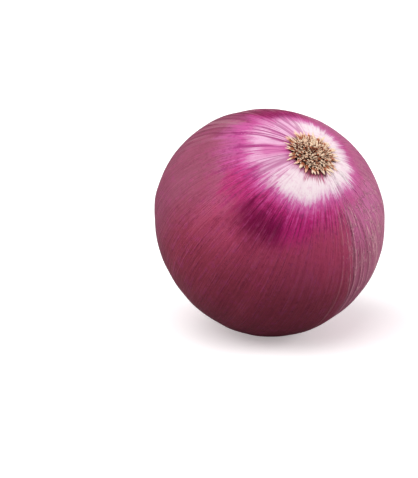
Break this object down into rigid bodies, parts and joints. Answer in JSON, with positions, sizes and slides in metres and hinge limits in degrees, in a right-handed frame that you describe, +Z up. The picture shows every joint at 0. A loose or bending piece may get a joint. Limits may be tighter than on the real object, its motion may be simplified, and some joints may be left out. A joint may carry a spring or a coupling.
{
  "type": "red onion",
  "caption": "Whole red onion lying on its side, with papery purple skin, a bent dried neck and a tuft of dried roots at its pale root end.",
  "frame": {"origin": "on the table, in the small flat spot that the onion rests on, straight below the middle of the bulb", "axes": "+Z up. The root end points up and forward, 49 degrees above the table and between -Y and +X; the neck points away behind, between +Y and -X"},
  "size_m": [0.08, 0.0923, 0.0784],
  "materials": {
    "skin": "thin dry skin with a soft gloss, purple red, cream white round the roots",
    "dried_root": "dry, matte, cream to brown"
  },
  "bodies": {
    "root": {"bulb": "skin", "root_tuft": "dried_root"}
  },
  "joints": []
}
